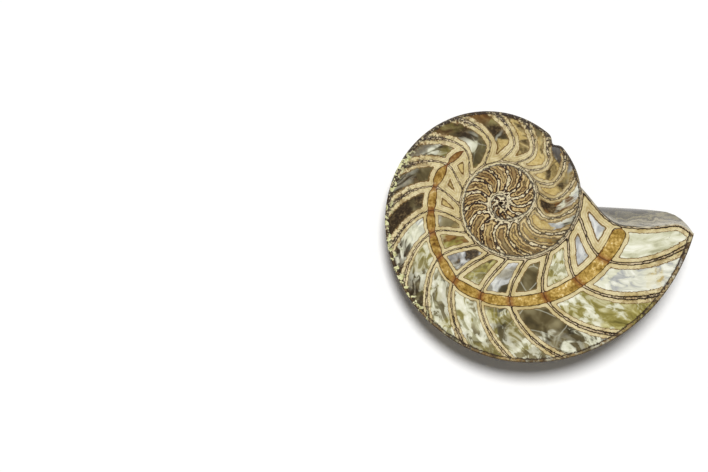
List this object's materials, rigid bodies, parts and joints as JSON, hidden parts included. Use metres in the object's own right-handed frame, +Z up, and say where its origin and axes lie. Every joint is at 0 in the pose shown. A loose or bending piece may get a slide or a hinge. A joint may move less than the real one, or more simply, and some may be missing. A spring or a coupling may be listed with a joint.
{
  "type": "fossil nautilus half",
  "caption": "Half of a fossil nautilus shell, cut through the middle of its coil and polished, with calcite-filled chambers and a siphuncle.",
  "frame": {"origin": "middle of the bounding box at its lowest point, on the surface that the half lies on", "axes": "+X along the coil's longest side, towards the mouth; +Y across the coil; +Z up, within 7 degrees of the polished cut face's normal"},
  "size_m": [0.12, 0.0984, 0.0351],
  "materials": {
    "shell": "polished",
    "siphuncle": "polished",
    "calcite": "polished"
  },
  "bodies": {
    "root": {"shell": "shell", "siphuncle": "siphuncle", "chamber_fill_01": "calcite", "chamber_fill_02": "calcite", "chamber_fill_03": "calcite", "chamber_fill_04": "calcite", "chamber_fill_05": "calcite", "chamber_fill_06": "calcite", "chamber_fill_07": "calcite", "chamber_fill_08": "calcite", "chamber_fill_09": "calcite", "chamber_fill_10": "calcite", "chamber_fill_11": "calcite", "chamber_fill_12": "calcite", "chamber_fill_13": "calcite", "chamber_fill_14": "calcite", "chamber_fill_15": "calcite", "chamber_fill_16": "calcite", "chamber_fill_17": "calcite", "chamber_fill_18": "calcite", "chamber_fill_19": "calcite", "chamber_fill_20": "calcite", "chamber_fill_21": "calcite", "chamber_fill_22": "calcite"}
  },
  "joints": []
}
